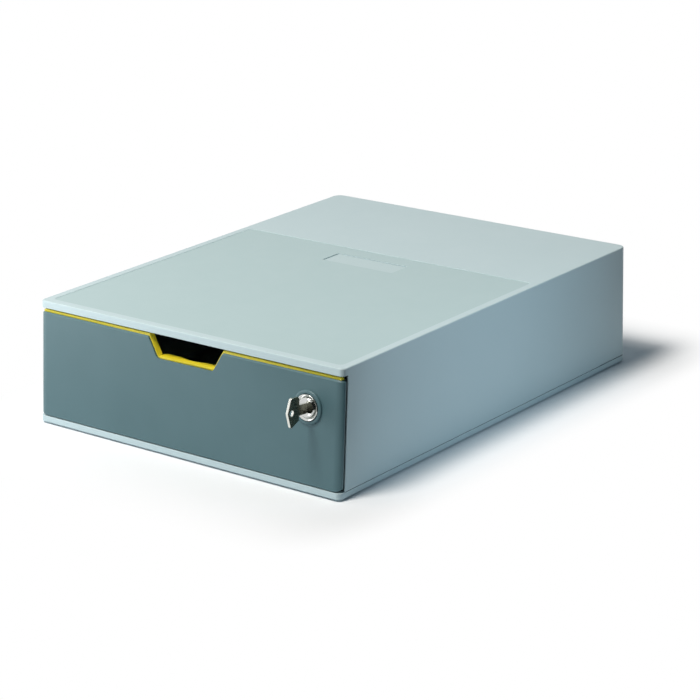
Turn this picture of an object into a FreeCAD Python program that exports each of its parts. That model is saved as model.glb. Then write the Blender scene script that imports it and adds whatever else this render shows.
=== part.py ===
import FreeCAD
import Part
import math
import os

os.makedirs("parts", exist_ok=True)
Vector = FreeCAD.Vector

# Origin: centre of the casing's footprint, in the plane of the base's underside rim.
# X to the right, Y to the back, Z up. The drawer's front faces -Y and leans back.

# overall sizes of the casing
caseWidth = 280.0
caseDepth = 356.0
caseHeight = 90.8
frontLean = 5.2

# casing walls
sideWall = 2.5
backWall = 2.5
topWall = 3.0
seamHeight = 4.8
headerHeight = 5.3
headerDepth = 8.0
sideSetback = 5.6
sideLip = 0.9
sideLipDepth = 3.5
frontCornerRadius = 3.8
rearCornerRadius = 7.0
topEdgeRadius = 1.8

# top of the casing
recessMargin = 6.5
recessDepth = 0.3
rearZoneLength = 119.2
plateWidth = 65.0
plateLength = 19.4
plateSetback = 25.3
plateThickness = 0.8
plateSink = 1.3
plateGap = 0.25
ribDepth = 3.5
ribHalf = 0.8

# base
baseFloorBottom = 2.2
baseFloorTop = 4.4
baseRim = 3.0
baseStripDepth = 6.0
baseEdgeRadius = 0.8
grooveDepth = 0.35
grooveHeight = 0.4
rearStepLength = 37.0
rearStepDepth = 0.8
rearStepDrop = 0.3
footRadius = 7.0
footSides = 16
footGap = 0.15
footStand = 1.2
footInset = 22.0
footSocketWall = 2.2

# screws
screwRadius = 1.45
pilotGap = 0.05
holeGap = 0.15
screwHeadRadius = 2.8
screwHeadHeight = 1.8
shankSides = 8
headSides = 12
bossHalf = 3.4
bossGap = 0.5
caseBossHeight = 17.5
caseScrewLength = 12.0

# drawer tray
traySideGap = 8.2
trayWall = 2.2
trayRearGap = 7.5
trayFloorBottom = 8.0
trayFloor = 2.2
traySkirtDrop = 1.7
trayTopDrop = 6.8
trayFrontDrop = 3.2
trayFrontGap = 1.0
trayFrontThickness = 2.5
trayCornerRadius = 5.0
rearDip = 14.0

# runners, glides and rear stops
runnerWidth = 10.0
runnerGap = 0.3
runnerLift = 0.1
runnerFrontInset = 14.0
runnerRearInset = 8.0
pegHalf = 2.0
pegGap = 0.05
travelKept = 106.0
glideInset = 18.0
glideLength = 12.0
glideHeight = 9.0
glideSideGap = 0.6
glideTop = 56.9
railGap = 0.5
railSideGap = 0.9
railThickness = 2.0
stopLength = 11.0
stopGap = 0.3
bumperRadius = 4.0
bumperInset = 40.0
bumperHeight = 40.0
bumperGap = 0.2

# drawer front, measured in the leaning plane: depth runs inward, rise runs up the slope
panelInset = 0.2
panelGap = 0.9
trimGap = 1.25
trimReveal = 1.7
panelFace = 0.2
panelBack = 4.0
panelPlateBack = 3.0
panelEdgeRadius = 3.4
panelLowerRadius = 3.0
panelUpperRadius = 1.0
panelTopBevel = 1.0
panelRim = 2.2
trimThickness = 1.6
trimBandHeight = 21.6
trimSideGap = 0.3
trimLipFace = 1.5
linerFace = 1.6
linerBack = 6.2
linerThickness = 0.9
linerGap = 0.15
ledgeThickness = 1.4
ledgeBack = 10.5
ledgeCornerRadius = 3.0
scallopWidth = 24.0
scallopDepth = 2.7

# finger notch in the panel
notchHalfTop = 34.6
notchHalfBottom = 25.85
notchHeight = 14.6
notchCornerRadius = 3.6
notchShoulderRadius = 2.6

# cam lock, on an axis square to the leaning front
lockInset = 29.0
lockDrop = 23.1
bezelRadius = 12.0
bezelProud = 1.5
bezelEdgeRadius = 1.2
ringRadius = 9.55
ringFace = -2.0
barrelRadius = 8.0
barrelFlat = 7.15
barrelBack = 17.0
barrelGap = 0.12
coreRadius = 6.0
coreHeadRadius = 6.75
coreFace = -2.6
coreShoulder = 17.3
coreFit = 0.05
headSeat = 0.6
keywayWidth = 2.1
keywayHeight = 6.6
keyGap = 0.1
tailHalf = 3.2
camThickness = 2.0
camTipDrop = 0.4
camHalfWidth = 6.5
waferThickness = 0.8
waferWidth = 6.0
waferFit = 0.05
waferCount = 5
waferFirst = 3.6
waferPitch = 2.3
nutAcross = 22.0
nutThickness = 4.0
nutGap = 0.13
washerRadius = 12.0
washerThickness = 0.8
washerSides = 24
keyOuter = -22.4
keyShoulder = -2.85
keyBowHeight = 20.8
keyBowLength = 12.0
keyCornerRadius = 2.8
keyBowDrop = 0.6
keyOuterCurve = 19.0
keyNeckHeight = 7.4
keyHoleRadius = 2.1
keyHoleInset = 4.1
keyTip = 15.5

# strike plate under the casing's top, which the cam catches behind
strikeHalfWidth = 14.0
strikeThickness = 1.5
strikeDrop = 11.3
strikePlay = 1.65
strikeLegLength = 18.7
strikeScrewInset = 12.7
strikeScrewSpread = 8.0
strikeBossHalf = 3.8
strikeBossHeight = 4.0

# places that follow from the sizes above
lean = math.radians(frontLean)
frontY = -caseDepth / 2
rearY = caseDepth / 2
halfWidth = caseWidth / 2
innerHalf = halfWidth - sideWall
ceiling = caseHeight - topWall
headerBottom = caseHeight - headerHeight
recessEndY = rearY - rearZoneLength
plateCentreY = recessEndY - plateSetback
footX = halfWidth - footInset
footY = rearY - footInset - 6.0
trayHalfWidth = innerHalf - traySideGap
trayFrontHalfWidth = innerHalf - trayFrontGap
trayRearY = rearY - backWall - trayRearGap
trayTop = headerBottom - trayTopDrop
caseScrewX = trayHalfWidth + bossGap + bossHalf
caseScrewY = (-footY, 0.0, footY)
runnerX = trayHalfWidth - trayWall - runnerGap - runnerWidth / 2
runnerPegs = (-footY + 30.0, 0.0, footY - 30.0)
glideFrontY = trayRearY - glideInset
travel = caseDepth - travelKept
bumperX = halfWidth - bumperInset
trimTop = headerBottom / math.cos(lean) - trimGap
panelTop = trimTop - trimReveal
panelBottom = seamHeight / math.cos(lean) + panelGap
panelHalfWidth = halfWidth - panelInset
trimHalfWidth = panelHalfWidth - panelRim - trimSideGap
trimBottom = trimTop - trimBandHeight
notchBottom = panelTop - notchHeight
trayFrontFace = panelPlateBack + trimThickness
trayFrontBack = trayFrontFace + trayFrontThickness
trayFrontTop = trimTop - trayFrontDrop
lockX = halfWidth - lockInset
lockRise = panelTop - lockDrop
camReach = lockDrop - camTipDrop
strikeFlangeBottom = ceiling - strikeDrop

# screws through the drawer's front: place across and rise
lowRow = panelBottom + 10.8
highRow = panelTop - 9.4
screwOuter = halfWidth - 20.0
frontScrews = ((-screwOuter, lowRow), (-45.0, lowRow), (45.0, lowRow), (screwOuter, lowRow),
               (-75.0, highRow), (75.0, highRow))


def box(x0, x1, y0, y1, z0, z1):
    return Part.makeBox(x1 - x0, y1 - y0, z1 - z0, Vector(x0, y0, z0))


def rod(radius, x, z, y0, y1):
    return Part.makeCylinder(radius, y1 - y0, Vector(x, y0, z), Vector(0, 1, 0))


def post(radius, x, y, z0, z1):
    return Part.makeCylinder(radius, z1 - z0, Vector(x, y, z0), Vector(0, 0, 1))


def pin(radius, y, z, x0, x1):
    return Part.makeCylinder(radius, x1 - x0, Vector(x0, y, z), Vector(1, 0, 0))


# a bar along Z with flat sides, its corners on the given radius
def sidedPost(sides, radius, x, y, z0, z1):
    step = 2 * math.pi / sides
    corners = [Vector(x + radius * math.cos(step * i), y + radius * math.sin(step * i), z0)
               for i in range(sides)]
    wire = Part.makePolygon(corners + corners[:1])
    return Part.Face(wire).extrude(Vector(0, 0, z1 - z0))


# the same bar along Y
def sidedRod(sides, radius, x, z, y0, y1):
    bar = sidedPost(sides, radius, 0, 0, -y1, -y0)
    return moved(turned(bar, Vector(1, 0, 0), 90), x, 0, z)


def prismAlongX(points, x0, x1):
    corners = [Vector(x0, y, z) for y, z in points]
    wire = Part.makePolygon(corners + corners[:1])
    return Part.Face(wire).extrude(Vector(x1 - x0, 0, 0))


def prismAlongY(points, y0, y1):
    corners = [Vector(x, y0, z) for x, z in points]
    wire = Part.makePolygon(corners + corners[:1])
    return Part.Face(wire).extrude(Vector(0, y1 - y0, 0))


def roundEdges(shape, radius, test):
    chosen = [edge for edge in shape.Edges if test(edge)]
    return shape.makeFillet(radius, chosen)


def bevelEdges(shape, size, test):
    chosen = [edge for edge in shape.Edges if test(edge)]
    return shape.makeChamfer(size, chosen)


def middle(edge):
    return edge.BoundBox.Center


def runsAlong(edge, axis):
    box3 = edge.BoundBox
    spans = {"x": box3.XLength, "y": box3.YLength, "z": box3.ZLength}
    longest = max(spans, key=spans.get)
    others = [span for name, span in spans.items() if name != axis]
    return longest == axis and max(others) < 0.3 * spans[axis]


def isCircle(edge):
    return isinstance(edge.Curve, Part.Circle)


# turns a shape made with its depth along Y and its rise along Z into the leaning front
def leanIn(shape):
    placed = shape.copy()
    placed.rotate(Vector(0, 0, 0), Vector(1, 0, 0), -frontLean)
    placed.translate(Vector(0, frontY, 0))
    return placed


# y of the plane that lies at a given depth behind the front, at height z
def planeY(z, depth=0.0):
    return frontY + z * math.tan(lean) + depth / math.cos(lean)


def strikeY():
    return planeY(strikeFlangeBottom, coreShoulder) - strikePlay - strikeThickness


def leaningBlock(x0, x1, depth, backY, z0, z1):
    points = [(planeY(z0, depth), z0), (backY, z0), (backY, z1), (planeY(z1, depth), z1)]
    return prismAlongX(points, x0, x1)


def roundedPlate(x0, x1, y0, y1, z0, z1, radius):
    block = box(x0, x1, y0, y1, z0, z1)
    return roundEdges(block, radius, lambda edge: runsAlong(edge, "z"))


def save(shape, name):
    shape.exportStep("parts/" + name + ".step")


# a screw whose shank runs up from the origin
def makeScrew(shankLength):
    shank = sidedPost(shankSides, screwRadius, 0, 0, 0, shankLength)
    head = sidedPost(headSides, screwHeadRadius, 0, 0, -screwHeadHeight, 0)
    return head.fuse(shank)


def moved(shape, x, y, z):
    copy = shape.copy()
    copy.translate(Vector(x, y, z))
    return copy


def turned(shape, axis, angle):
    copy = shape.copy()
    copy.rotate(Vector(0, 0, 0), axis, angle)
    return copy


# ---- casing ----

def caseBlock(z0, z1):
    block = leaningBlock(-halfWidth, halfWidth, 0, rearY, z0, z1)
    block = roundEdges(block, frontCornerRadius,
                       lambda edge: runsAlong(edge, "z") and middle(edge).y < 0)
    return roundEdges(block, rearCornerRadius,
                      lambda edge: runsAlong(edge, "z") and middle(edge).y > 0)


# the hollow of the casing, its rear corners rounded to keep the wall even
def caseHollow(wall, y0, z0, z1):
    hollow = box(-halfWidth + wall, halfWidth - wall, y0, rearY - wall, z0, z1)
    return roundEdges(hollow, rearCornerRadius - wall,
                      lambda edge: runsAlong(edge, "z") and middle(edge).y > 0)


def sideRail(side):
    near = trayHalfWidth + railSideGap
    far = innerHalf + 0.5
    low = glideTop + railGap
    stopRear = glideFrontY - travel - stopGap
    rail = box(near, far, frontY + 18.0, rearY - rearCornerRadius, low, low + railThickness)
    stop = box(near, far, stopRear - stopLength, stopRear, glideTop - glideHeight, low)
    rail = rail.fuse(stop)
    for step in (0.1, 0.33, 0.56, 0.79):
        y = frontY + step * caseDepth
        points = [(near, low + railThickness), (far, low + railThickness), (far, low + 12.0)]
        rail = rail.fuse(prismAlongY(points, y - 0.75, y + 0.75))
    if side < 0:
        rail = rail.mirror(Vector(0, 0, 0), Vector(1, 0, 0))
    return rail


def caseBoss(x, y):
    side = 1 if x > 0 else -1
    top = seamHeight + caseBossHeight
    wall = side * (innerHalf + 0.5)
    boss = box(x - bossHalf, x + bossHalf, y - bossHalf, y + bossHalf, baseFloorTop, top)
    web = box(min(x, wall), max(x, wall), y - 1.0, y + 1.0, seamHeight, top)
    pilot = sidedPost(shankSides, screwRadius + pilotGap, x, y, baseFloorTop - 1, top - 4.0)
    return boss.fuse(web).cut(pilot)


def makeUpperShell():
    shell = caseBlock(seamHeight, caseHeight)
    shell = roundEdges(shell, topEdgeRadius, lambda edge: middle(edge).z > caseHeight - 0.01)
    front = planeY(headerBottom) - 5
    lipY = planeY(ceiling, headerDepth)
    shell = shell.cut(caseHollow(sideWall, lipY, seamHeight - 1, ceiling))
    shell = shell.cut(box(-innerHalf, innerHalf, front - 10, lipY + 1, seamHeight - 1, headerBottom))
    low = seamHeight - 1
    ahead = [(planeY(low) - 8, low), (planeY(low, sideSetback), low),
             (planeY(headerBottom, sideSetback), headerBottom), (planeY(headerBottom) - 8, headerBottom)]
    shell = shell.cut(prismAlongX(ahead, -halfWidth - 1, halfWidth + 1))
    for side in (-1, 1):
        x0, x1 = sorted((side * (innerHalf - 1), side * (halfWidth - sideLip)))
        inside = [(planeY(low, sideSetback - 1), low), (planeY(low, sideSetback + sideLipDepth), low),
                  (planeY(headerBottom, sideSetback + sideLipDepth), headerBottom),
                  (planeY(headerBottom, sideSetback - 1), headerBottom)]
        shell = shell.cut(prismAlongX(inside, x0, x1))
    shell = shell.cut(topRecess())
    shell = shell.cut(rearGroove())
    for side in (-1, 1):
        shell = shell.fuse(sideRail(side))
        for y in caseScrewY:
            shell = shell.fuse(caseBoss(side * caseScrewX, y))
    shell = shell.fuse(ceilingRibs())
    y = strikeY() + strikeScrewInset
    low = ceiling - strikeBossHeight
    for x in (lockX - strikeScrewSpread, lockX + strikeScrewSpread):
        boss = box(x - strikeBossHalf, x + strikeBossHalf, y - strikeBossHalf, y + strikeBossHalf,
                   low, ceiling + 0.3)
        shell = shell.fuse(boss)
        shell = shell.cut(sidedPost(shankSides, screwRadius + pilotGap, x, y, low - 1, ceiling + 0.5))
    for side in (-1, 1):
        shell = shell.cut(bumperPeg(side, pegGap, rearY - backWall - 1, rearY - 0.8))
    return shell


def topRecess():
    startY = planeY(caseHeight) + recessMargin
    pocket = roundedPlate(-halfWidth + recessMargin, halfWidth - recessMargin, startY, recessEndY,
                          caseHeight - recessDepth, caseHeight + 2, 4.0)
    halfX = plateWidth / 2 + plateGap
    halfY = plateLength / 2 + plateGap
    seat = roundedPlate(-halfX, halfX, plateCentreY - halfY, plateCentreY + halfY,
                        caseHeight - recessDepth - plateSink, caseHeight + 2, 1.2)
    return pocket.fuse(seat)


# the seam opens to a wider step near the rear
def rearGroove():
    outer = box(-halfWidth - 1, halfWidth + 1, rearY - rearStepLength, rearY + 1,
                seamHeight - 1, seamHeight + rearStepDrop)
    inset = caseHollow(rearStepDepth, rearY - rearStepLength - 1, seamHeight - 2,
                       seamHeight + rearStepDrop + 1)
    return outer.cut(inset)


def ceilingRibs():
    low = ceiling - ribDepth
    wall = innerHalf + 0.5
    back = rearY - backWall + 0.5
    pitch = caseWidth * 0.214
    ribs = []
    for step in (-1.5, -0.5, 0.5, 1.5):
        x = step * pitch
        ribs.append(box(x - ribHalf, x + ribHalf, frontY + 48.0, back, low, ceiling + 0.3))
    for behind in (0.67, 0.47, 0.27, 0.11):
        y = rearY - behind * caseDepth
        ribs.append(box(-wall, wall, y - ribHalf, y + ribHalf, low, ceiling + 0.3))
    return ribs[0].fuse(ribs[1:])


def makeNamePlate():
    bottom = caseHeight - recessDepth - plateSink
    plate = roundedPlate(-plateWidth / 2, plateWidth / 2, plateCentreY - plateLength / 2,
                         plateCentreY + plateLength / 2, bottom, bottom + plateThickness, 1.0)
    return bevelEdges(plate, 0.15, lambda edge: middle(edge).z > bottom + plateThickness - 0.01)


def makeBaseTray():
    base = caseBlock(0, seamHeight)
    base = roundEdges(base, baseEdgeRadius, lambda edge: middle(edge).z < 0.01)
    stripBack = frontY + baseStripDepth
    base = base.cut(caseHollow(baseRim, stripBack, -1, baseFloorBottom))
    base = base.cut(caseHollow(sideWall, stripBack + 1, baseFloorTop, seamHeight + 1))
    outer = box(-halfWidth - 1, halfWidth + 1, planeY(seamHeight, sideSetback), rearY + 1,
                seamHeight - grooveHeight, seamHeight + 1)
    base = base.cut(outer.cut(caseHollow(grooveDepth, frontY - 1, seamHeight - 2, seamHeight + 2)))
    base = base.fuse(baseRibs())
    for x in (-footX, footX):
        for y in (-footY, footY):
            half = footRadius + footSocketWall
            base = base.fuse(box(x - half, x + half, y - half, y + half, 0.5, baseFloorBottom + 0.3))
            base = base.cut(sidedPost(footSides, footRadius + footGap, x, y, 0, baseFloorBottom))
    for side in (-1, 1):
        for y in caseScrewY:
            base = base.cut(sidedPost(shankSides, screwRadius + holeGap, side * caseScrewX, y,
                                      0, baseFloorTop + 1))
        for y in runnerPegs:
            base = base.cut(runnerPeg(side * runnerX, y, pegGap, baseFloorBottom - 0.1, baseFloorTop + 1))
    return base


def baseRibs():
    low = 0.8
    high = baseFloorBottom + 0.3
    side = halfWidth - baseRim + 0.5
    ribs = []
    for x in (-halfWidth / 2, 0.0, halfWidth / 2):
        ribs.append(box(x - ribHalf, x + ribHalf, frontY + baseStripDepth - 0.5, rearY - baseRim + 0.5,
                        low, high))
    for y in (frontY * 0.42, rearY * 0.42):
        ribs.append(box(-side, side, y - ribHalf, y + ribHalf, low, high))
    return ribs[0].fuse(ribs[1:])


def makeFootPads():
    pads = []
    for x in (-footX, footX):
        for y in (-footY, footY):
            pads.append(sidedPost(footSides, footRadius, x, y, -footStand, baseFloorBottom))
    return Part.makeCompound(pads)


def makeCaseScrews():
    screws = []
    for side in (-1, 1):
        for y in caseScrewY:
            screws.append(moved(makeScrew(caseScrewLength), side * caseScrewX, y, baseFloorBottom))
    return Part.makeCompound(screws)


def makeStrikePlate():
    top = ceiling - strikeBossHeight
    x0 = lockX - strikeHalfWidth
    x1 = lockX + strikeHalfWidth
    y = strikeY()
    leg = box(x0, x1, y, y + strikeLegLength, top - strikeThickness, top)
    flange = box(x0, x1, y, y + strikeThickness, strikeFlangeBottom, top)
    plate = leg.fuse(flange).removeSplitter()
    plate = roundEdges(plate, strikeThickness - 0.1, lambda edge: runsAlong(edge, "x")
                       and middle(edge).z > top - 0.01 and middle(edge).y < y + 0.01)
    for x in (lockX - strikeScrewSpread, lockX + strikeScrewSpread):
        plate = plate.cut(sidedPost(shankSides, screwRadius + holeGap, x, y + strikeScrewInset,
                                    top - strikeThickness - 1, top + 1))
    return plate


def makeStrikeScrews():
    seat = ceiling - strikeBossHeight - strikeThickness
    screws = [moved(makeScrew(5.0), x, strikeY() + strikeScrewInset, seat)
              for x in (lockX - strikeScrewSpread, lockX + strikeScrewSpread)]
    return Part.makeCompound(screws)


# ---- runners and glides ----

# tab that holds a runner in the casing's floor
def runnerPeg(x, y, gap, z0, z1):
    half = pegHalf + gap
    return box(x - half, x + half, y - 2 * half, y + 2 * half, z0, z1)


def makeRunner(side):
    x = side * runnerX
    top = trayFloorBottom - runnerLift
    strip = box(x - runnerWidth / 2, x + runnerWidth / 2, frontY + runnerFrontInset,
                trayRearY - runnerRearInset, baseFloorTop, top)
    strip = bevelEdges(strip, 1.0, lambda edge: runsAlong(edge, "x") and middle(edge).z > top - 0.01)
    for y in runnerPegs:
        strip = strip.fuse(runnerPeg(x, y, 0, baseFloorBottom, baseFloorTop + 0.5))
    return strip


def glideMiddleY():
    return glideFrontY + glideLength / 2


# peg that holds a glide in the tray's side wall
def glidePeg(gap, x0, x1):
    half = pegHalf + gap
    middleZ = glideTop - glideHeight / 2
    return box(x0, x1, glideMiddleY() - half, glideMiddleY() + half, middleZ - half, middleZ + half)


def makeRearGlides():
    glides = []
    for side in (-1, 1):
        outer = innerHalf - glideSideGap
        shoe = box(trayHalfWidth, outer, glideFrontY, glideFrontY + glideLength,
                   glideTop - glideHeight, glideTop)
        shoe = bevelEdges(shoe, 1.2, lambda edge: runsAlong(edge, "x"))
        glide = shoe.fuse(glidePeg(0, trayHalfWidth - trayWall, trayHalfWidth + 0.5))
        if side < 0:
            glide = glide.mirror(Vector(0, 0, 0), Vector(1, 0, 0))
        glides.append(glide)
    return Part.makeCompound(glides)


# peg that holds a bumper in the casing's rear wall
def bumperPeg(side, gap, y0, y1):
    half = pegHalf + gap
    x = side * bumperX
    return box(x - half, x + half, y0, y1, bumperHeight - half, bumperHeight + half)


def makeRearBumpers():
    bumpers = []
    wallY = rearY - backWall
    for side in (-1, 1):
        pad = sidedRod(headSides, bumperRadius, side * bumperX, bumperHeight, trayRearY + bumperGap, wallY)
        bumpers.append(pad.fuse(bumperPeg(side, 0, wallY - 0.5, rearY - 1.0)))
    return Part.makeCompound(bumpers)


# ---- drawer ----

# notch outline drawn in by a margin; it stays open at the top
def notchPrism(margin, y0, y1):
    slope = (notchHalfTop - notchHalfBottom) / (panelTop - notchBottom)
    shift = margin * math.sqrt(1 + slope * slope)
    low = notchBottom + margin
    high = trimTop + 6
    halfLow = notchHalfBottom + (low - notchBottom) * slope - shift
    halfHigh = notchHalfBottom + (high - notchBottom) * slope - shift
    points = [(-halfLow, low), (halfLow, low), (halfHigh, high), (-halfHigh, high)]
    prism = prismAlongY(points, y0, y1)
    radius = notchCornerRadius - margin
    return roundEdges(prism, radius, lambda edge: runsAlong(edge, "y") and middle(edge).z < low + 1)


def makeFrontPanel():
    radius = panelEdgeRadius
    profile = box(-panelHalfWidth, panelHalfWidth, panelFace, panelBack, panelBottom, panelTop)
    profile = roundEdges(profile, radius,
                         lambda edge: runsAlong(edge, "z") and middle(edge).y < panelFace + 0.01)
    profile = bevelEdges(profile, panelTopBevel,
                         lambda edge: middle(edge).z > panelTop - 0.01 and middle(edge).y < panelBack - 0.5)
    outline = box(-panelHalfWidth, panelHalfWidth, panelFace - 1, panelBack + 1, panelBottom, panelTop)
    outline = roundEdges(outline, panelLowerRadius,
                         lambda edge: runsAlong(edge, "y") and middle(edge).z < panelBottom + 1)
    outline = roundEdges(outline, panelUpperRadius,
                         lambda edge: runsAlong(edge, "y") and middle(edge).z > panelTop - 1)
    outline = outline.cut(notchPrism(0, -5, 10))
    outline = roundEdges(outline, notchShoulderRadius,
                         lambda edge: runsAlong(edge, "y") and middle(edge).z > panelTop - 0.1
                         and abs(middle(edge).x) < notchHalfTop + 1)
    panel = profile.common(outline)
    panel = panel.cut(box(-panelHalfWidth + panelRim, panelHalfWidth - panelRim, panelPlateBack,
                          panelBack + 1, panelBottom + panelRim, panelTop + 1))
    bezel = rod(bezelRadius, lockX, lockRise, panelFace - bezelProud, panelFace + 0.5)
    bezel = roundEdges(bezel, bezelEdgeRadius,
                       lambda edge: isCircle(edge) and middle(edge).y < panelFace - 1)
    panel = panel.fuse(bezel)
    panel = panel.cut(rod(ringRadius + barrelGap, lockX, lockRise, panelFace - 5, panelFace))
    for x, rise in frontScrews:
        panel = panel.fuse(box(x - bossHalf, x + bossHalf, panelPlateBack - 0.3, trayFrontFace,
                               rise - bossHalf, rise + bossHalf))
    for x, rise in frontScrews:
        panel = panel.cut(sidedRod(shankSides, screwRadius + pilotGap, x, rise,
                                   panelFace + 1.0, trayFrontFace + 1))
    panel = panel.cut(barrelShape(barrelGap, panelFace - 1, panelBack + 2))
    return leanIn(panel)


# barrel with two flats that keep it from turning
def barrelShape(gap, y0, y1):
    barrel = rod(barrelRadius + gap, lockX, lockRise, y0, y1)
    flats = box(lockX - barrelFlat - gap, lockX + barrelFlat + gap, y0 - 1, y1 + 1,
                lockRise - 20, lockRise + 20)
    return barrel.common(flats)


def makeGripTrim():
    band = box(-trimHalfWidth, trimHalfWidth, panelPlateBack, trayFrontFace, trimBottom, trimTop)
    lip = box(-trimHalfWidth, trimHalfWidth, trimLipFace, panelPlateBack + 0.3, panelTop, trimTop)
    trim = band.fuse(lip).removeSplitter()
    trim = roundEdges(trim, 0.5, lambda edge: runsAlong(edge, "x") and middle(edge).z > trimTop - 0.01
                      and middle(edge).y < trimLipFace + 0.01)
    trim = trim.fuse(notchPrism(linerGap, linerFace, linerBack).common(
        box(-60, 60, linerFace, linerBack, notchBottom, trimTop)))
    ledge = notchPrism(linerGap, linerFace, ledgeBack).common(
        box(-60, 60, linerFace, ledgeBack, notchBottom, notchBottom + linerGap + ledgeThickness))
    ledge = ledge.common(roundedPlate(-notchHalfBottom, notchHalfBottom, linerFace - 20, ledgeBack,
                                      notchBottom - 1, notchBottom + 3, ledgeCornerRadius))
    trim = trim.fuse(ledge)
    opening = notchPrism(linerGap + linerThickness, linerFace - 5, ledgeBack + 5)
    trim = trim.cut(opening.common(box(-60, 60, linerFace - 6, ledgeBack + 6,
                                       notchBottom + linerGap + ledgeThickness, trimTop + 9)))
    scallopRadius = (scallopWidth ** 2 / 4 + scallopDepth ** 2) / (2 * scallopDepth)
    scallopY = ledgeBack - scallopDepth + scallopRadius
    trim = trim.cut(post(scallopRadius, 0, scallopY, notchBottom - 5, notchBottom + 8))
    for x, rise in frontScrews:
        if rise > trimBottom:
            half = bossHalf + 0.2
            trim = trim.cut(box(x - half, x + half, panelPlateBack - 1, trayFrontFace + 1,
                                rise - half, rise + half))
    trim = trim.cut(rod(ringRadius + 1.0, lockX, lockRise, -5, 20))
    return leanIn(trim)


def trayFrontPlate():
    plate = box(-trayFrontHalfWidth, trayFrontHalfWidth, trayFrontFace, trayFrontBack,
                panelBottom + 1.1, trayFrontTop)
    plate = roundEdges(plate, 2.0, lambda edge: runsAlong(edge, "y"))
    return leanIn(plate)


def trayFrontCuts():
    cuts = notchPrism(-0.35, trayFrontFace - 2, trayFrontBack + 3)
    cuts = cuts.fuse(barrelShape(barrelGap, trayFrontFace - 2, trayFrontBack + 2))
    for x, rise in frontScrews:
        cuts = cuts.fuse(sidedRod(shankSides, screwRadius + holeGap, x, rise,
                                  trayFrontFace - 2, trayFrontBack + 2))
    return leanIn(cuts)


def makeDrawerTray():
    outer = leaningBlock(-trayHalfWidth, trayHalfWidth, trayFrontFace, trayRearY, trayFloorBottom, trayTop)
    outer = roundEdges(outer, trayCornerRadius,
                       lambda edge: runsAlong(edge, "z") and middle(edge).y > 0)
    inner = leaningBlock(-trayHalfWidth + trayWall, trayHalfWidth - trayWall, trayFrontBack,
                         trayRearY - trayWall, trayFloorBottom + trayFloor, trayTop + 5)
    inner = roundEdges(inner, trayCornerRadius - trayWall,
                       lambda edge: runsAlong(edge, "z") or
                       (middle(edge).z < trayFloorBottom + trayFloor + 0.1 and not runsAlong(edge, "z")))
    tray = outer.cut(inner)
    for side in (-1, 1):
        skirt = box(trayHalfWidth - trayWall, trayHalfWidth, planeY(trayFloorBottom, trayFrontFace) + 1,
                    trayRearY - trayCornerRadius, trayFloorBottom - traySkirtDrop,
                    trayFloorBottom + 0.5)
        if side < 0:
            skirt = skirt.mirror(Vector(0, 0, 0), Vector(1, 0, 0))
        tray = tray.fuse(skirt)
    tray = tray.fuse(trayFrontPlate())
    tray = tray.cut(rearWallDip())
    for step in (-2, -1, 0, 1, 2):
        x = step * caseWidth * 0.16
        tray = tray.fuse(box(x - ribHalf, x + ribHalf, frontY + 18.0, trayRearY - 4,
                             trayFloorBottom - 1.0, trayFloorBottom + 0.3))
    for side in (-1, 1):
        hole = glidePeg(pegGap, trayHalfWidth - trayWall - 1, trayHalfWidth + 1)
        if side < 0:
            hole = hole.mirror(Vector(0, 0, 0), Vector(1, 0, 0))
        tray = tray.cut(hole)
    return tray.cut(trayFrontCuts())


# the rear wall is lower than the sides so that the strike plate passes over it
def rearWallDip():
    half = trayHalfWidth - 14.0
    points = [(-half + rearDip, trayTop - rearDip), (half - rearDip, trayTop - rearDip),
              (half + 3, trayTop + 3), (-half - 3, trayTop + 3)]
    dip = prismAlongY(points, trayRearY - 12, trayRearY + 5)
    return roundEdges(dip, 4.0, lambda edge: runsAlong(edge, "y") and middle(edge).z < trayTop)


def makeFrontScrews():
    screws = []
    for x, rise in frontScrews:
        screw = turned(makeScrew(trayFrontBack - panelFace - 1.4), Vector(1, 0, 0), 90)
        screws.append(leanIn(moved(screw, x, trayFrontBack, rise)))
    return Part.makeCompound(screws)


# ---- lock ----

def makeLockHousing():
    flange = rod(ringRadius, lockX, lockRise, ringFace, panelFace)
    flange = bevelEdges(flange, 0.7, lambda edge: isCircle(edge) and middle(edge).y < ringFace + 0.01)
    housing = flange.fuse(barrelShape(0, panelFace - 0.5, barrelBack))
    housing = housing.cut(rod(coreRadius + coreFit, lockX, lockRise, ringFace - 1, barrelBack + 1))
    housing = housing.cut(rod(coreHeadRadius + coreFit, lockX, lockRise, ringFace - 1, headSeat))
    slot = box(lockX - waferWidth / 2 - 0.1, lockX + waferWidth / 2 + 0.1, waferFirst - 1.0,
               barrelBack - 2.0, lockRise - 6.9, lockRise + 6.9)
    return leanIn(housing.cut(slot))


def makeLockWasher():
    y = trayFrontBack
    washer = sidedRod(washerSides, washerRadius, lockX, lockRise, y, y + washerThickness)
    return leanIn(washer.cut(barrelShape(barrelGap, y - 1, y + 3)))


def makeLockNut():
    y = trayFrontBack + washerThickness
    corner = nutAcross / math.sqrt(3)
    points = [(corner * math.cos(math.radians(60 * i)), corner * math.sin(math.radians(60 * i)))
              for i in range(6)]
    nut = moved(prismAlongY(points, 0, nutThickness), lockX, y, lockRise)
    hole = sidedRod(washerSides, barrelRadius + nutGap, lockX, lockRise, y - 1, y + nutThickness + 1)
    return leanIn(nut.cut(hole))


def waferStations():
    return [waferFirst + waferPitch * i for i in range(waferCount)]


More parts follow.
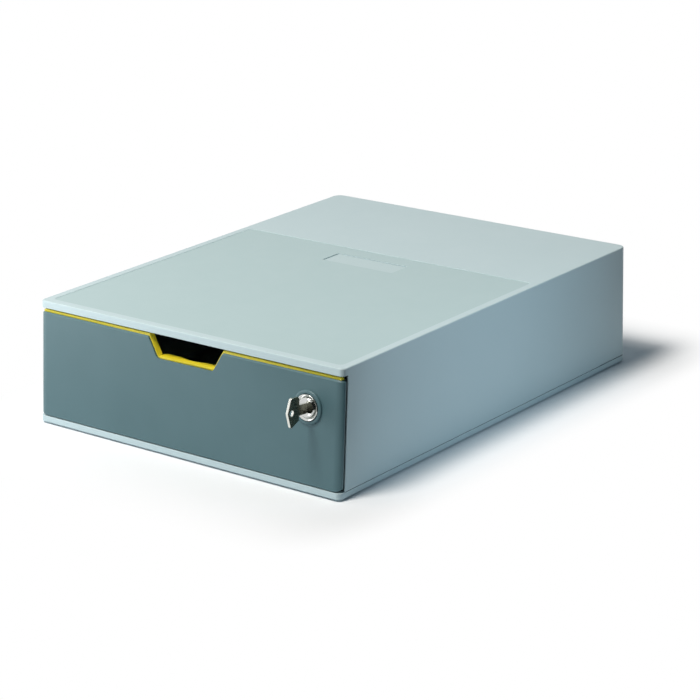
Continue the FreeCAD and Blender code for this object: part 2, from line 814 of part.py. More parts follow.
def makeLockCore():
    head = rod(coreHeadRadius, lockX, lockRise, coreFace, headSeat)
    head = bevelEdges(head, 0.4, lambda edge: isCircle(edge) and middle(edge).y < coreFace + 0.01)
    core = head.fuse(rod(coreRadius, lockX, lockRise, headSeat - 0.2, coreShoulder))
    tail = box(lockX - tailHalf, lockX + tailHalf, coreShoulder - 0.2, coreShoulder + camThickness,
               lockRise - tailHalf, lockRise + tailHalf)
    core = core.fuse(tail)
    core = core.cut(box(lockX - keywayWidth / 2, lockX + keywayWidth / 2, coreFace - 1, keyTip + 0.5,
                        lockRise - keywayHeight / 2, lockRise + keywayHeight / 2))
    for y in waferStations():
        slot = box(lockX - waferWidth / 2 - waferFit, lockX + waferWidth / 2 + waferFit,
                   y - waferFit, y + waferThickness + waferFit, lockRise - 8, lockRise + 8)
        core = core.cut(slot)
    core = core.cut(sidedRod(shankSides, screwRadius + pilotGap, lockX, lockRise,
                             keyTip + 0.4, coreShoulder + 5))
    return leanIn(core)


def makeLockWafers():
    wafers = []
    for y in waferStations():
        wafer = sidedRod(headSides, coreRadius - 0.1, lockX, lockRise, y, y + waferThickness)
        wafer = wafer.common(box(lockX - waferWidth / 2, lockX + waferWidth / 2, y - 1, y + 2,
                                 lockRise - 8, lockRise + 8))
        wafer = wafer.cut(box(lockX - 1.3, lockX + 1.3, y - 1, y + 2, lockRise - 3.5, lockRise + 3.5))
        wafers.append(leanIn(wafer))
    return Part.makeCompound(wafers)


# at rest the cam points to the left, clear of the strike plate
def makeLockCam():
    y0 = coreShoulder
    y1 = coreShoulder + camThickness
    arm = box(lockX - camReach, lockX, y0, y1, lockRise - camHalfWidth, lockRise + camHalfWidth)
    arm = roundEdges(arm, 3.0, lambda edge: runsAlong(edge, "y") and middle(edge).x < lockX - 5)
    cam = arm.fuse(rod(coreRadius + 1.6, lockX, lockRise, y0, y1)).removeSplitter()
    hole = box(lockX - tailHalf - 0.05, lockX + tailHalf + 0.05, y0 - 1, y1 + 1,
               lockRise - tailHalf - 0.05, lockRise + tailHalf + 0.05)
    return leanIn(cam.cut(hole))


def makeCamWasher():
    y = coreShoulder + camThickness
    washer = sidedRod(headSides, 5.6, lockX, lockRise, y, y + washerThickness)
    return leanIn(washer.cut(sidedRod(shankSides, screwRadius + holeGap, lockX, lockRise, y - 1, y + 2)))


def makeCamScrew():
    y = coreShoulder + camThickness + washerThickness
    screw = turned(makeScrew(y - keyTip - 0.8), Vector(1, 0, 0), 90)
    return leanIn(moved(screw, lockX, y, lockRise))


def makeKey():
    half = keyBowHeight / 2
    thick = keywayWidth / 2 - keyGap
    bowBack = keyOuter + keyBowLength
    bow = box(-thick, thick, keyOuter, bowBack, -half, half)
    bow = roundEdges(bow, keyCornerRadius, lambda edge: runsAlong(edge, "x"))
    curve = pin(keyOuterCurve, keyOuter + keyOuterCurve, 0, -thick - 1, thick + 1)
    bow = moved(bow.common(curve), 0, 0, -keyBowDrop)
    neckHalf = keyNeckHeight / 2
    neck = box(-thick, thick, bowBack - 2, keyShoulder, -neckHalf, neckHalf)
    bladeHalf = keywayHeight / 2 - keyGap
    points = [(keyShoulder - 0.5, -bladeHalf), (keyTip - 1.8, -bladeHalf), (keyTip, -0.8), (keyTip, 0.8),
              (keyTip - 1.8, bladeHalf), (keyShoulder - 0.5, bladeHalf)]
    blade = prismAlongX(points, -thick, thick)
    for index, y in enumerate(waferStations()):
        depth = (0.5, 1.3, 0.9, 1.6, 0.7)[index]
        centre = y + waferThickness / 2
        cut = [(centre - 0.45 - depth, -bladeHalf - 0.01), (centre - 0.45, -bladeHalf + depth),
               (centre + 0.45, -bladeHalf + depth), (centre + 0.45 + depth, -bladeHalf - 0.01)]
        blade = blade.cut(prismAlongX(cut, -thick - 1, thick + 1))
    key = bow.fuse(neck).fuse(blade).removeSplitter()
    key = key.cut(pin(keyHoleRadius, keyOuter + keyHoleInset, -keyBowDrop, -5, 5))
    return leanIn(moved(key, lockX, 0, lockRise))


save(makeUpperShell(), "upper_shell")
save(makeBaseTray(), "base_tray")
save(makeNamePlate(), "name_plate")
save(makeFootPads(), "foot_pads")
save(makeCaseScrews(), "case_screws")
save(makeStrikePlate(), "strike_plate")
save(makeStrikeScrews(), "strike_screws")
save(makeRunner(-1), "left_runner")
save(makeRunner(1), "right_runner")
save(makeRearGlides(), "rear_glides")
save(makeRearBumpers(), "rear_bumpers")
save(makeDrawerTray(), "drawer_tray")
save(makeFrontPanel(), "front_panel")
save(makeGripTrim(), "grip_trim")
save(makeFrontScrews(), "front_screws")
save(makeLockHousing(), "lock_housing")
save(makeLockWasher(), "lock_washer")
save(makeLockNut(), "lock_nut")
save(makeLockCore(), "lock_core")
save(makeLockWafers(), "lock_wafers")
save(makeLockCam(), "lock_cam")
save(makeCamWasher(), "cam_washer")
save(makeCamScrew(), "cam_screw")
save(makeKey(), "key")
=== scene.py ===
import math
import bmesh
import bpy
from mathutils import Matrix, Quaternion, Vector


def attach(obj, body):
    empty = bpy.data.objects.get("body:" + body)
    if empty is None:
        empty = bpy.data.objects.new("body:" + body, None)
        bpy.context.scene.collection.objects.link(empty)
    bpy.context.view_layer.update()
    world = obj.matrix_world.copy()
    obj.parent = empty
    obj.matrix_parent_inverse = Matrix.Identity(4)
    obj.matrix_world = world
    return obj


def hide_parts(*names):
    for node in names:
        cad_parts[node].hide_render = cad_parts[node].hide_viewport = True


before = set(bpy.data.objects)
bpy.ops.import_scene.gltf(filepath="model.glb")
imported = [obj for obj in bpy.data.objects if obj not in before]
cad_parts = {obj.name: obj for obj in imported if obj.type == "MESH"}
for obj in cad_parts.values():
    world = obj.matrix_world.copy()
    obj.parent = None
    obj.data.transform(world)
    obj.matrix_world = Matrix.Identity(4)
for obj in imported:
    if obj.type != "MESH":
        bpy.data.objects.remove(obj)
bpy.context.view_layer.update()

scene = bpy.context.scene
scene.view_settings.view_transform = "Standard"
mm = 0.001

# a long lens from the front right, a little above
camera = {"place": (1.12970, -1.40075, 0.63359), "aim": (-0.04085, 0.03041, 0.01383),
          "roll": -1.7719, "lens": 130.39, "shift": (0.0389, 0.0017), "sight": 20}


def addObject(name, data):
    made = bpy.data.objects.new(name, data)
    scene.collection.objects.link(made)
    return made


def placeCamera(setup):
    data = bpy.data.cameras.new("studioCamera")
    data.lens = setup["lens"]
    data.shift_x, data.shift_y = setup["shift"]
    data.clip_end = setup["sight"]
    seat = addObject("studioCamera", data)
    along = Vector(setup["aim"]) - Vector(setup["place"])
    turn = along.to_track_quat("-Z", "Y") @ Quaternion((0, 0, 1), math.radians(setup["roll"]))
    seat.matrix_world = Matrix.Translation(setup["place"]) @ turn.to_matrix().to_4x4()
    scene.camera = seat
    print("camera set")


placeCamera(camera)


# a hex colour as linear light, with full cover
def linear(hexColour):
    parts = [int(hexColour[i:i + 2], 16) / 255 for i in (1, 3, 5)]
    return [p / 12.92 if p <= 0.04045 else ((p + 0.055) / 1.055) ** 2.4 for p in parts] + [1.0]


# adds one node with its settings, fixed inputs and links; a link comes from a socket or a node's first output
def addNode(tree, kind, inputs=None, links=None, **settings):
    node = tree.nodes.new(kind)
    for name, value in settings.items():
        setattr(node, name, value)
    for name, value in (inputs or {}).items():
        node.inputs[name].default_value = value
    for name, source in (links or {}).items():
        socket = source.outputs[0] if isinstance(source, bpy.types.Node) else source
        tree.links.new(socket, node.inputs[name])
    return node


# gives a material or a world an empty node tree
def emptyTree(owner):
    owner.use_nodes = True
    owner.node_tree.nodes.clear()
    return owner.node_tree


# starts a finish, with the piece's own coordinates for its patterns
def startFinish(name):
    finish = bpy.data.materials.new(name)
    tree = emptyTree(finish)
    return finish, tree, addNode(tree, "ShaderNodeTexCoord").outputs["Object"]


def endFinish(tree, inputs, links):
    shader = addNode(tree, "ShaderNodeBsdfPrincipled", inputs, links)
    addNode(tree, "ShaderNodeOutputMaterial", links={"Surface": shader})


# 1 on edges sharper than the radius, 0 on the flats
def edgeMask(tree, radius):
    rounded = addNode(tree, "ShaderNodeBevel", {"Radius": radius}, samples=6)
    flat = addNode(tree, "ShaderNodeNewGeometry").outputs["Normal"]
    same = addNode(tree, "ShaderNodeVectorMath", links={0: rounded, 1: flat}, operation="DOT_PRODUCT")
    return addNode(tree, "ShaderNodeMapRange", {"From Min": 0.995, "From Max": 0.90},
                   {"Value": same.outputs["Value"]})


# injection-moulded ABS from a spark-eroded tool: satin, faint grain, and paler edges, partly wear and partly
# a painted highlight where edges catch light
# sizes in millimetres; the real grain is about 0.2 and is drawn coarser, so that it shows
moulded = {"cloud": 70, "patch": 14, "edge": 0.5, "mottle": 0.4, "polished": 0.02, "dulled": 0.03,
           "bump": 0.35, "refraction": 1.54}


def mouldedAbs(name, body, paleTone, roughness, grain=0.9, depth=0.012, edge=0.3, tone=0.5, gloss=0.5):
    finish, tree, place = startFinish(name)
    cloud = addNode(tree, "ShaderNodeTexNoise", {"Scale": 1 / (moulded["cloud"] * mm), "Detail": 3.0},
                    {"Vector": place})
    spread = addNode(tree, "ShaderNodeMapRange",
                     {"From Min": 0.3, "From Max": 0.7, "To Max": tone * moulded["mottle"]}, {"Value": cloud})
    tint = addNode(tree, "ShaderNodeMix", {"A": linear(body), "B": linear(paleTone)}, {"Factor": spread},
                   data_type="RGBA")
    # the edges take the paler tone: partly wear, partly a painted highlight
    rub = addNode(tree, "ShaderNodeMath", {1: edge}, {0: edgeMask(tree, moulded["edge"] * mm)},
                  operation="MULTIPLY")
    coat = addNode(tree, "ShaderNodeMix", {"B": linear(paleTone)}, {"Factor": rub, "A": tint.outputs["Result"]},
                   data_type="RGBA")
    fine = addNode(tree, "ShaderNodeTexNoise", {"Scale": 1 / (grain * mm), "Detail": 2.0, "Roughness": 0.6},
                   {"Vector": place})
    patch = addNode(tree, "ShaderNodeTexNoise", {"Scale": 1 / (moulded["patch"] * mm), "Detail": 4.0},
                    {"Vector": place})
    polish = addNode(tree, "ShaderNodeMapRange",
                     {"From Min": 0.3, "From Max": 0.7, "To Min": roughness - moulded["polished"],
                      "To Max": roughness + moulded["dulled"]}, {"Value": patch})
    bump = addNode(tree, "ShaderNodeBump", {"Strength": moulded["bump"], "Distance": depth * mm},
                   {"Height": fine})
    endFinish(tree, {"IOR": moulded["refraction"], "Specular IOR Level": gloss},
              {"Base Color": coat.outputs["Result"], "Roughness": polish, "Normal": bump})
    return finish


# plated or bare metal: soft smears of dulling, rubbing marks, and a brighter edge, partly where it is handled
# and partly a painted highlight
# sizes in millimetres; the real marks are fine hair lines and are drawn coarser, so that they show
plated = {"cloud": 6, "edge": 0.4, "bump": 0.3}


def platedMetal(name, body, dull, roughness, marks, stretch=(1, 1, 1), depth=0.004, bright=None, spread=0.15):
    finish, tree, place = startFinish(name)
    cloud = addNode(tree, "ShaderNodeTexNoise", {"Scale": 1 / (plated["cloud"] * mm), "Detail": 4.0},
                    {"Vector": place})
    tint = addNode(tree, "ShaderNodeMix", {"A": linear(body), "B": linear(dull)}, {"Factor": cloud},
                   data_type="RGBA")
    # the brighter edge is partly handling wear, partly a painted highlight
    shine = addNode(tree, "ShaderNodeMix", {"B": linear(bright or body)},
                    {"Factor": edgeMask(tree, plated["edge"] * mm), "A": tint.outputs["Result"]},
                    data_type="RGBA")
    squeeze = addNode(tree, "ShaderNodeMapping", {"Scale": stretch}, {"Vector": place})
    rub = addNode(tree, "ShaderNodeTexNoise", {"Scale": 1 / (marks * mm), "Detail": 3.0, "Roughness": 0.7},
                  {"Vector": squeeze})
    polish = addNode(tree, "ShaderNodeMapRange",
                     {"From Min": 0.3, "From Max": 0.75, "To Min": roughness, "To Max": roughness + spread},
                     {"Value": rub})
    bump = addNode(tree, "ShaderNodeBump", {"Strength": plated["bump"], "Distance": depth * mm},
                   {"Height": rub})
    endFinish(tree, {"Metallic": 1.0},
              {"Base Color": shine.outputs["Result"], "Roughness": polish, "Normal": bump})
    return finish


finishes = {
    # pale and satin, hardly mottled
    "lightAbs": mouldedAbs("mouldedLightGreyAbs", "#C6D8D9", "#D1E0E1", 0.5, edge=0.1),
    # a little darker and smoother, where the tool was polished
    "recessAbs": mouldedAbs("smootherRecessAbs", "#B2C9C8", "#BBD0CE", 0.42, grain=0.6, depth=0.006,
                            tone=0.25, edge=0.1),
    "trayAbs": mouldedAbs("mouldedTrayGreyAbs", "#BAC9C9", "#CCD8D8", 0.5),
    # deep blue grey, whose sheen lifts it towards the lamp; its paler edges are a painted highlight
    "slateAbs": mouldedAbs("mouldedSlateBlueAbs", "#4E6E73", "#82A1A7", 0.42, edge=0.2, tone=0.25, gloss=0.4),
    "yellowAbs": mouldedAbs("mouldedYellowAbs", "#FFE524", "#FFEC5C", 0.42),
    # matt and dark grey, a painted shade for the seam between the casing halves
    "shadedSeamAbs": mouldedAbs("paintedShadeSeamAbs", "#76868A", "#839397", 0.6, depth=0.004),
    "plateAbs": mouldedAbs("smoothPlateAbs", "#BACFCF", "#C8DADA", 0.34, depth=0.005),
    # waxy off-white that slides well
    "acetal": mouldedAbs("whiteAcetal", "#E6E6DF", "#F0F0EA", 0.3, depth=0.006),
    # dull black with a coarse skin
    "rubber": mouldedAbs("blackRubber", "#242526", "#3A3B3C", 0.78, grain=0.6, depth=0.03, gloss=0.3),
    # a near mirror with faint haze
    "chrome": platedMetal("brightChromePlate", "#DADCDA", "#C6C8C5", 0.03, 1.2, depth=0.001,
                          bright="#F0F1EE", spread=0.05),
    # the flats are painted dark and the rim painted bright: painted reflections of the dark panel and the
    # pale floor
    "keyFlatPaintedDark": platedMetal("nickelFlatsPaintedDark", "#838476", "#6C6D60", 0.2, 0.8, (1, 0.25, 1),
                           bright="#B9BAAE"),
    "keyEdgePaintedBright": platedMetal("nickelEdgesPaintedBright", "#EDEEE8", "#DADBD2", 0.14, 0.8, bright="#F6F7F2",
                           spread=0.1),
    # cool grey with cloudy smears
    "zinc": platedMetal("zincPlatedSteel", "#BFC3C6", "#A2A7AC", 0.3, 1.0),
    "brass": platedMetal("rolledBrass", "#D8B564", "#B8934A", 0.25, 0.8),
}
print("finishes made:", len(finishes))

# parts that keep the CAD shape, with their sharp edges broken; widths in millimetres
softParts = {
    "upper_shell": {"piece": "casingShell", "body": "casing", "finish": "lightAbs", "slot": "shell_grey",
                    "width": 0.3, "steps": 2},
    "base_tray": {"piece": "casingBase", "body": "casing", "finish": "lightAbs", "slot": "shell_grey",
                  "width": 0.25, "steps": 2},
    "name_plate": {"piece": "barePlate", "body": "casing", "finish": "plateAbs", "slot": "plate_grey",
                   "width": 0.15, "steps": 2},
    "front_panel": {"piece": "slateCover", "body": "drawer", "finish": "slateAbs", "slot": "slate_front",
                    "width": 0.35, "steps": 3},
    "grip_trim": {"piece": "yellowGrip", "body": "drawer", "finish": "yellowAbs", "slot": "yellow_trim",
                  "width": 0.25, "steps": 2},
    "drawer_tray": {"piece": "drawerBox", "body": "drawer", "finish": "trayAbs", "slot": "tray_grey",
                    "width": 0.3, "steps": 2},
    "strike_plate": {"piece": "foldedStrike", "body": "casing", "finish": "zinc", "slot": "zinc_steel",
                     "width": 0.15, "steps": 2},
    "left_runner": {"piece": "leftSlideStrip", "body": "casing", "finish": "acetal", "slot": "white_acetal",
                    "width": 0.2, "steps": 2},
    "right_runner": {"piece": "rightSlideStrip", "body": "casing", "finish": "acetal", "slot": "white_acetal",
                     "width": 0.2, "steps": 2},
    "rear_glides": {"piece": "rearShoes", "body": "drawer", "finish": "acetal", "slot": "white_acetal",
                    "width": 0.2, "steps": 2},
    "lock_wafers": {"piece": "plugWafers", "body": "lock_plug", "finish": "brass", "slot": "wafer_brass",
                    "width": 0.05, "steps": 1},
    "lock_cam": {"piece": "latchCam", "body": "lock_plug", "finish": "zinc", "slot": "zinc_steel",
                 "width": 0.2, "steps": 2},
}


# how close corners have to lie to be joined, in millimetres, and how edges are told apart, in degrees
meshRules = {"join": 0.002, "joinTurned": 0.0005, "level": 0.6, "rounded": 38, "sharp": 50}


# merges a CAD mesh and joins its flat facets
def cleanCopy(node):
    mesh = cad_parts[node].data.copy()
    shape = bmesh.new()
    shape.from_mesh(mesh)
    bmesh.ops.remove_doubles(shape, verts=shape.verts, dist=meshRules["join"] * mm)
    bmesh.ops.dissolve_limit(shape, angle_limit=math.radians(meshRules["level"]), verts=shape.verts,
                             edges=shape.edges)
    shape.to_mesh(mesh)
    shape.free()
    mesh.materials.clear()
    return mesh


# applies modifiers to a mesh and returns the plain result
def evaluated(mesh, addModifiers):
    draft = addObject("draft", mesh)
    addModifiers(draft)
    bpy.context.view_layer.update()
    made = bpy.data.meshes.new_from_object(draft.evaluated_get(bpy.context.evaluated_depsgraph_get()))
    bpy.data.objects.remove(draft)
    return made


# joins corners that lie on each other, so that no face without area is left
def welded(mesh):
    shape = bmesh.new()
    shape.from_mesh(mesh)
    bmesh.ops.remove_doubles(shape, verts=shape.verts, dist=meshRules["join"] * mm)
    shape.to_mesh(mesh)
    shape.free()
    return mesh


# rounds the edges, width in millimetres; broad flats keep their own shading beside the small roundings
def softened(mesh, width, steps):
    def addBevel(draft):
        bevel = draft.modifiers.new("edges", "BEVEL")
        bevel.width = width * mm
        bevel.segments = steps
        bevel.limit_method = "ANGLE"
        bevel.angle_limit = math.radians(meshRules["rounded"])
        bevel.use_clamp_overlap = True

    def addShading(draft):
        shading = draft.modifiers.new("shading", "WEIGHTED_NORMAL")
        shading.mode = "FACE_AREA"
        shading.weight = 100
        shading.keep_sharp = True

    made = welded(evaluated(mesh, addBevel))
    made.shade_smooth()
    made.set_sharp_from_angle(angle=math.radians(meshRules["sharp"]))
    return evaluated(made, addShading)


# links a piece, lets it ride its body and stand for its CAD node
def addPiece(name, mesh, setup, node):
    if not mesh.materials:
        mesh.materials.append(finishes[setup["finish"]])
    piece = addObject(name, mesh)
    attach(piece, setup["body"])
    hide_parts(node)
    print(name, "faces", len(mesh.polygons))


# gives a second finish to the faces that pass a test on their centre, in millimetres, and their normal
def coatFaces(name, finish, chosen):
    mesh = bpy.data.objects[name].data
    index = len(mesh.materials)
    mesh.materials.append(finishes[finish])
    count = 0
    for face in mesh.polygons:
        if chosen(face.center / mm, face.normal):
            face.material_index = index
            count += 1
    print(name, finish, "faces", count)


# the leaning front, in millimetres and degrees; leaning places a shape that has its depth along Y and its
# rise along Z there
leaningFront = {"degrees": 5.2, "foot": -178.0}
lean = math.radians(leaningFront["degrees"])
leaning = Matrix(((1, 0, 0, 0), (0, math.cos(lean), math.sin(lean), leaningFront["foot"]),
                  (0, -math.sin(lean), math.cos(lean), 0), (0, 0, 0, 1)))
lockAxis = {"across": 111.0, "rise": 59.8033}
atLock = leaning @ Matrix.Translation((lockAxis["across"], 0, lockAxis["rise"]))

# draws the rounding along the shell's top edge in, so that the edge reads as crisp as on the real casing
topEdge = {"top": 90.8, "made": 1.8, "wanted": 0.9, "slack": 0.02, "halfWidth": 140.0, "rear": 178.0,
           "rearCorner": 7.0, "frontCorner": 3.8}


def crispTop(mesh, setup):
    share = setup["wanted"] / setup["made"]
    reach = setup["made"] + setup["slack"]
    for corner in mesh.vertices:
        x, y, z = corner.co / mm
        drop = setup["top"] - z
        if drop > reach:
            continue
        atRear = y > 0
        radius = setup["rearCorner"] if atRear else setup["frontCorner"]
        edgeY = setup["rear"] if atRear else leaningFront["foot"] + z * math.tan(lean)
        inX, inY = setup["halfWidth"] - abs(x), abs(edgeY - y)
        if inX < radius and inY < radius:
            away = Vector((radius - inX, radius - inY))
            inset = radius - away.length
            outX, outY = away.normalized()
        else:
            inset = min(inX, inY)
            outX, outY = (1, 0) if inX < inY else (0, 1)
        if inset > reach:
            continue
        shift = inset * (1 - share)
        newZ = setup["top"] - drop * share
        slide = 0 if atRear else (newZ - z) * math.tan(lean) * outY
        corner.co = Vector((x + math.copysign(shift * outX, x), y + math.copysign(shift * outY, y) + slide,
                            newZ)) * mm
    return mesh


# the rounding at both ends of the cover runs further in, so that the ends fall back softly
coverEnd = {"end": 139.8, "made": 3.4, "wanted": 6.2, "slack": 0.02}


def softEnds(mesh, setup):
    for corner in mesh.vertices:
        inset = setup["end"] - abs(corner.co.x) / mm
        if inset < setup["made"] + setup["slack"]:
            reach = setup["end"] - inset * setup["wanted"] / setup["made"]
            corner.co.x = math.copysign(reach * mm, corner.co.x)
    return mesh


for node, setup in softParts.items():
    mesh = cleanCopy(node)
    if node == "upper_shell":
        mesh = crispTop(mesh, topEdge)
    if node == "front_panel":
        mesh = softEnds(mesh, coverEnd)
    addPiece(setup["piece"], softened(mesh, setup["width"], setup["steps"]), setup, node)

# the recess of the top has a smoother floor: its level faces, found by their place in millimetres
recess = {"halfWidth": 133.5, "front": -164.5, "rear": 58.8, "low": 90.2, "high": 90.6, "level": 0.9}


def coatRecess(setup):
    def isFloor(place, normal):
        x, y, z = place
        level = normal.z > setup["level"] and setup["low"] < z < setup["high"]
        return level and abs(x) < setup["halfWidth"] and setup["front"] < y < setup["rear"]

    coatFaces("casingShell", "recessAbs", isFloor)


# painted shade darkens the seam between the shell and the base: low faces near the outside, but behind its
# skin
seam = {
    "casingBase": {"low": 4.3, "high": 4.85, "side": (137.75, 139.95), "rear": (175.75, 177.95),
                   "front": -171},
    "casingShell": {"low": 4.7, "high": 5.15, "side": (137.4, 139.95), "rear": (175.4, 177.95),
                    "front": -171},
}


def paintSeamShade(name, setup):
    def isSeam(place, normal):
        x, y, z = place
        near = abs(x) > setup["side"][0] or y > setup["rear"][0]
        skin = abs(x) > setup["side"][1] or y > setup["rear"][1]
        return setup["low"] < z < setup["high"] and near and not skin and y > setup["front"]

    coatFaces(name, "shadedSeamAbs", isSeam)


coatRecess(recess)
for name, setup in seam.items():
    paintSeamShade(name, setup)


# turns a profile of (radius, depth) pairs round the Y axis, in millimetres
# closed: the profile comes back to its start; an open one starts and ends on the axis
# flat: half the width between two flats, which start behind the flange
# thread: first depth, last depth, pitch and cut; it fades in and out over the run
def turned(profile, stations, closed=True, flat=None, thread=None, flange=0.7, run=0.6):
    def radiusAt(radius, depth, turn):
        if not thread or not thread[0] <= depth <= thread[1]:
            return radius
        first, last, pitch, cut = thread
        phase = (depth / pitch - turn) % 1
        ends = min(1, (depth - first) / run, (last - depth) / run)
        return radius - cut * ends * abs(2 * phase - 1)

    shape = bmesh.new()
    rings = []
    for radius, depth in profile:
        ring = []
        for i in range(stations):
            turn = i / stations
            reach = radiusAt(radius, depth, turn)
            x, z = reach * math.cos(2 * math.pi * turn), reach * math.sin(2 * math.pi * turn)
            if flat and radius > flat and depth > flange:
                x = max(-flat, min(flat, x))
            ring.append(shape.verts.new((x, depth, z)))
        rings.append(ring)
    pairs = list(zip(rings, rings[1:] + rings[:1])) if closed else list(zip(rings, rings[1:]))
    for near, far in pairs:
        for i in range(stations):
            k = (i + 1) % stations
            shape.faces.new((near[i], near[k], far[k], far[i]))
    bmesh.ops.remove_doubles(shape, verts=shape.verts, dist=meshRules["joinTurned"])
    bmesh.ops.recalc_face_normals(shape, faces=shape.faces)
    mesh = bpy.data.meshes.new("turned")
    shape.to_mesh(mesh)
    shape.free()
    return mesh


# smooth, but sharp over an angle in degrees
def shaded(mesh, angle):
    mesh.shade_smooth()
    mesh.set_sharp_from_angle(angle=math.radians(angle))
    return mesh


# from the millimetres of a local place to the metres of the frame
def toScene(mesh, place):
    mesh.transform(Matrix.Scale(mm, 4) @ place)
    return mesh


# cuts one mesh with another, or keeps what they share
def combined(mesh, tool, operation):
    cutter = addObject("cutter", tool)

    def addBoolean(draft):
        cut = draft.modifiers.new("cut", "BOOLEAN")
        cut.operation = operation
        cut.solver = "EXACT"
        cut.object = cutter

    made = evaluated(mesh, addBoolean)
    bpy.data.objects.remove(cutter)
    return made


# die-cast and plated: a rounded flange with a funnel that leads in to the plug
# crestSteps: outwards and back from the crest; backSteps: inwards and forwards from the back of the barrel
lockRing = {"piece": "lockBezelRing", "body": "drawer", "finish": "chrome", "slot": "bright_chrome",
            "outer": 9.55, "crest": 8.95, "face": -2.0, "seat": 0.2, "stations": 120,
            "crestSteps": [(0.12, 0.1), (0.05, 0.02), (-0.05, 0), (-0.15, 0.05)],
            "funnel": [(7.06, -0.55), (6.91, -0.38), (6.86, -0.2)],
            "pocket": 6.80, "pocketDepths": (-0.1, 0.6), "bore": 6.05,
            "barrel": 8.0, "back": 17.0, "backSteps": [(0.45, 0), (0.05, 0.4)], "flat": 7.15,
            "threadStart": 5.6, "threadEnd": 16.5, "pitch": 1.25, "cut": 0.4, "rowsPerPitch": 6,
            "sharpFrom": 55}


def makeRing(setup):
    near, far = setup["pocketDepths"]
    outer, pocket, bore, barrel, back = (setup[key] for key in ("outer", "pocket", "bore", "barrel", "back"))
    profile = [(barrel, setup["seat"]), (outer, setup["seat"]), (outer, near)]
    profile += [(setup["crest"] + out, setup["face"] + deep) for out, deep in setup["crestSteps"]]
    profile += setup["funnel"]
    profile += [(pocket, near), (pocket, far), (bore, far), (bore, back)]
    profile += [(barrel - inward, back - ahead) for inward, ahead in setup["backSteps"]]
    step = setup["pitch"] / setup["rowsPerPitch"]
    rows = int((setup["threadEnd"] - setup["threadStart"]) / step) + 1
    profile += [(barrel, setup["threadEnd"] - i * step) for i in range(rows)]
    mesh = turned(profile, setup["stations"], flat=setup["flat"],
                  thread=(setup["threadStart"], setup["threadEnd"], setup["pitch"], setup["cut"]))
    addPiece(setup["piece"], shaded(toScene(mesh, atLock), setup["sharpFrom"]), setup, "lock_housing")


# the plug keeps the CAD slots; its face is dished so that its rim stands out as a bright line
# ahead: how far in front of the face the cutting lens starts; gap: how far it stays clear of the rim
lockPlug = {"piece": "lockPlug", "body": "lock_plug", "finish": "chrome", "slot": "bright_chrome",
            "rim": 6.2, "face": -2.6, "ahead": 1.5, "gap": 0.02, "dish": 0.85, "dishSteps": 8,
            "stations": 72, "width": 0.18, "steps": 3}


def makePlug(setup):
    rim, face = setup["rim"], setup["face"]
    front = face - setup["ahead"]
    lens = [(0, front), (rim, front), (rim, face - setup["gap"])]
    for i in range(setup["dishSteps"]):
        share = (i + 1) / setup["dishSteps"]
        lens.append((rim * (1 - share), face + setup["dish"] * math.sin(share * math.pi / 2)))
    tool = toScene(turned(lens, setup["stations"], closed=False), atLock)
    plug = combined(cleanCopy("lock_core"), tool, "DIFFERENCE")
    addPiece(setup["piece"], softened(plug, setup["width"], setup["steps"]), setup, "lock_core")


# hexagon nut with both ends chamfered by a cone of a slope in degrees, which cuts deeper at the corners,
# starts by the inset inside the flats, and reaches past the corners and clear of the ends
lockNut = {"piece": "lockNut", "body": "drawer", "finish": "zinc", "slot": "zinc_steel",
           "front": 7.9, "thickness": 4.0, "across": 22.0, "slope": 30, "deeper": 0.35, "inset": 0.3,
           "past": 0.4, "clear": 0.05, "stations": 96, "width": 0.12, "steps": 2}


def makeNut(setup):
    flatHalf = setup["across"] / 2
    corner = setup["across"] / math.sqrt(3)
    lead = (corner - flatHalf) * math.tan(math.radians(setup["slope"])) + setup["deeper"]
    start, widest = flatHalf - setup["inset"], corner + setup["past"]
    front, back = setup["front"], setup["front"] + setup["thickness"]
    near, far = front - setup["clear"], back + setup["clear"]
    cone = [(0, near), (start, near), (widest, front + lead), (widest, back - lead), (start, far), (0, far)]
    tool = toScene(turned(cone, setup["stations"], closed=False), atLock)
    nut = combined(cleanCopy("lock_nut"), tool, "INTERSECT")
    addPiece(setup["piece"], softened(nut, setup["width"], setup["steps"]), setup, "lock_nut")


# punched washers with a slightly rolled outer edge
washers = {
    "lock_washer": {"piece": "lockWasher", "body": "drawer", "finish": "zinc", "slot": "zinc_steel",
                    "outer": 11.95, "inner": 8.12, "front": 7.1, "thickness": 0.8, "flat": 7.27},
    "cam_washer": {"piece": "camWasher", "body": "lock_plug", "finish": "zinc", "slot": "zinc_steel",
                   "outer": 5.55, "inner": 1.62, "front": 19.3, "thickness": 0.8, "flat": None},
}
# what both have in common: a hole with a small lead, a broken front edge and a rolled back edge
punched = {"hole": 0.1, "broken": 0.15, "rolled": 0.25, "shoulder": 0.08, "slack": 0.001, "stations": 96,
           "sharpFrom": 40}


def makeWasher(node, setup):
    outer, inner, front, flat = (setup[key] for key in ("outer", "inner", "front", "flat"))
    hole, broken, rolled, shoulder = (punched[key] for key in ("hole", "broken", "rolled", "shoulder"))
    back = front + setup["thickness"]
    profile = [(inner, front + hole), (inner + hole, front), (outer - broken, front), (outer, front + broken)]
    profile += [(outer, back - rolled), (outer - shoulder, back - shoulder), (outer - rolled, back)]
    profile += [(inner + hole, back), (inner, back - hole)]
    mesh = turned(profile, punched["stations"], flat=flat)
    # only the hole keeps its flats; the outer edge is made round again
    if flat:
        for corner in mesh.vertices:
            x, z = corner.co.x, corner.co.z
            if math.hypot(x, z) > inner + 2 * hole and abs(x) >= flat - punched["slack"]:
                corner.co.x = math.copysign(math.sqrt(max(0, outer ** 2 - z ** 2)), x)
    addPiece(setup["piece"], shaded(toScene(mesh, atLock), punched["sharpFrom"]), setup, node)


makeRing(lockRing)
makePlug(lockPlug)
makeNut(lockNut)
for node, setup in washers.items():
    makeWasher(node, setup)
print("lock made")
